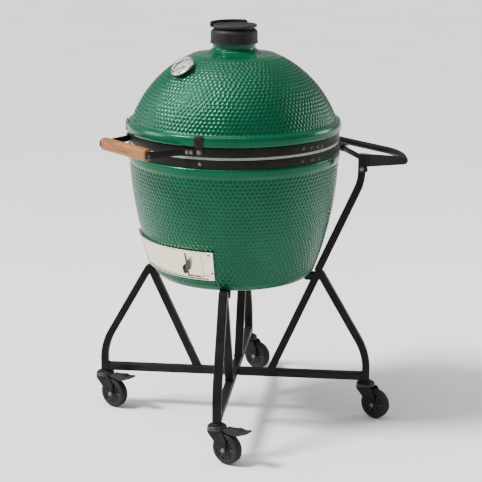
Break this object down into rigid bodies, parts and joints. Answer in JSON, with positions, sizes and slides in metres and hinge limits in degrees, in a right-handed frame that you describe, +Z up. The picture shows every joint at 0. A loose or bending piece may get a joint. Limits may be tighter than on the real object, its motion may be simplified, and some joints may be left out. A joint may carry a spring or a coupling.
{
  "type": "kamado ceramic grill",
  "caption": "Egg-shaped ceramic charcoal grill with a hinged dome, wooden front grip, draft door, top vent and thermometer, on a braced steel nest with swivel casters.",
  "frame": {"origin": "on the floor, in the middle of the whole object's footprint; the egg's own axis stands at x -0.018, y -0.018", "axes": "+Z up; the front, with the wooden grip, draft door and thermometer, faces -Y; +X is the right side seen from the front"},
  "size_m": [0.8309, 0.9055, 1.3025],
  "materials": {
    "glaze": "gloss",
    "ceramic": "matte",
    "felt": "matte",
    "black_steel": "satin",
    "cast_iron": "matte",
    "steel": "satin",
    "zinc": "satin",
    "wood": "satin",
    "rubber": "matte",
    "tyre": "matte",
    "plastic": "matte",
    "dial": "satin",
    "needle": "satin",
    "glass": "gloss"
  },
  "bodies": {
    "base": {"base_shell": "glaze", "fire_box": "ceramic", "fire_ring": "ceramic", "base_gasket": "felt", "base_band": "black_steel", "hinge_base_bracket": "black_steel", "hinge_spring_left": "black_steel", "hinge_spring_right": "black_steel", "brace_left": "black_steel", "brace_right": "black_steel", "side_truss": "black_steel", "cross_truss": "black_steel", "handler_tube_left": "black_steel", "handler_tube_right": "black_steel", "push_handle": "black_steel", "door_frame": "steel", "cooking_grid": "steel", "hinge_pin": "steel", "fire_grate": "cast_iron", "egg_pad_front_right": "rubber", "caster_stem_front_right": "zinc", "egg_pad_front_left": "rubber", "caster_stem_front_left": "zinc", "egg_pad_rear_right": "rubber", "caster_stem_rear_right": "zinc", "egg_pad_rear_left": "rubber", "caster_stem_rear_left": "zinc"},
    "dome": {"dome_shell": "glaze", "dome_gasket": "felt", "dome_band": "black_steel", "hinge_dome_bracket": "black_steel", "handle_grip": "wood", "handle_arm_left": "black_steel", "handle_arm_right": "black_steel", "band_clip_left": "black_steel", "band_clip_right": "black_steel", "vent_body": "cast_iron", "gauge_case": "steel", "gauge_dial": "dial", "gauge_lens": "glass"},
    "vent_shutter": {"vent_shutter": "cast_iron"},
    "vent_lid": {"vent_lid": "cast_iron", "vent_grip": "rubber"},
    "gauge_needle": {"gauge_needle": "needle"},
    "door_left": {"door_panel_left": "steel"},
    "door_right": {"door_panel_right": "steel"},
    "fork_front_right": {"caster_fork_front_right": "black_steel", "caster_axle_front_right": "zinc"},
    "wheel_front_right": {"caster_wheel_front_right": "tyre"},
    "pedal_front_right": {"brake_pedal_front_right": "plastic"},
    "fork_front_left": {"caster_fork_front_left": "black_steel", "caster_axle_front_left": "zinc"},
    "wheel_front_left": {"caster_wheel_front_left": "tyre"},
    "pedal_front_left": {"brake_pedal_front_left": "plastic"},
    "fork_rear_right": {"caster_fork_rear_right": "black_steel", "caster_axle_rear_right": "zinc"},
    "wheel_rear_right": {"caster_wheel_rear_right": "tyre"},
    "fork_rear_left": {"caster_fork_rear_left": "black_steel", "caster_axle_rear_left": "zinc"},
    "wheel_rear_left": {"caster_wheel_rear_left": "tyre"}
  },
  "joints": [
    {"name": "dome_hinge", "type": "hinge", "parent": "base", "child": "dome", "pos_m": [-0.018, 0.344, 0.875], "axis": [-1, 0, 0], "range_deg": [0, 65], "stiffness_Nm_per_rad": 58, "springref_deg": 68.75},
    {"name": "vent_lid_swing", "type": "hinge", "parent": "dome", "child": "vent_lid", "pos_m": [-0.018, 0.046, 1.2861], "axis": [0, 0, 1], "range_deg": [0, 100]},
    {"name": "vent_shutter_turn", "type": "hinge", "parent": "dome", "child": "vent_shutter", "pos_m": [-0.018, -0.018, 1.2762], "axis": [0, 0, 1], "range_deg": [0, 36]},
    {"name": "gauge_needle_turn", "type": "hinge", "parent": "dome", "child": "gauge_needle", "pos_m": [-0.018, -0.223, 1.1795], "axis": [0, 0.6157, -0.788], "range_deg": [0, 270]},
    {"name": "door_left_slide", "type": "hinge", "parent": "base", "child": "door_left", "pos_m": [-0.018, -0.018, 0.58], "axis": [0, 0, -1], "range_deg": [0, 10.5]},
    {"name": "door_right_slide", "type": "hinge", "parent": "base", "child": "door_right", "pos_m": [-0.018, -0.018, 0.58], "axis": [0, 0, 1], "range_deg": [0, 3.5]},
    {"name": "caster_swivel_front_right", "type": "hinge", "parent": "base", "child": "fork_front_right", "pos_m": [0.29313, -0.32913, 0.1085], "axis": [0, 0, 1], "continuous": true},
    {"name": "wheel_spin_front_right", "type": "hinge", "parent": "fork_front_right", "child": "wheel_front_right", "pos_m": [0.33109, -0.31896, 0.049], "axis": [-0.2588, 0.9659, 0], "continuous": true},
    {"name": "brake_front_right", "type": "hinge", "parent": "fork_front_right", "child": "pedal_front_right", "pos_m": [0.32935, -0.31942, 0.111], "axis": [-0.2588, 0.9659, 0], "range_deg": [0, 7]},
    {"name": "caster_swivel_front_left", "type": "hinge", "parent": "base", "child": "fork_front_left", "pos_m": [-0.32913, -0.32913, 0.1085], "axis": [0, 0, 1], "continuous": true},
    {"name": "wheel_spin_front_left", "type": "hinge", "parent": "fork_front_left", "child": "wheel_front_left", "pos_m": [-0.29117, -0.31896, 0.049], "axis": [-0.2588, 0.9659, 0], "continuous": true},
    {"name": "brake_front_left", "type": "hinge", "parent": "fork_front_left", "child": "pedal_front_left", "pos_m": [-0.2929, -0.31942, 0.111], "axis": [-0.2588, 0.9659, 0], "range_deg": [0, 7]},
    {"name": "caster_swivel_rear_right", "type": "hinge", "parent": "base", "child": "fork_rear_right", "pos_m": [0.29313, 0.29313, 0.1085], "axis": [0, 0, 1], "continuous": true},
    {"name": "wheel_spin_rear_right", "type": "hinge", "parent": "fork_rear_right", "child": "wheel_rear_right", "pos_m": [0.33109, 0.3033, 0.049], "axis": [-0.2588, 0.9659, 0], "continuous": true},
    {"name": "caster_swivel_rear_left", "type": "hinge", "parent": "base", "child": "fork_rear_left", "pos_m": [-0.32913, 0.29313, 0.1085], "axis": [0, 0, 1], "continuous": true},
    {"name": "wheel_spin_rear_left", "type": "hinge", "parent": "fork_rear_left", "child": "wheel_rear_left", "pos_m": [-0.29117, 0.3033, 0.049], "axis": [-0.2588, 0.9659, 0], "continuous": true}
  ]
}
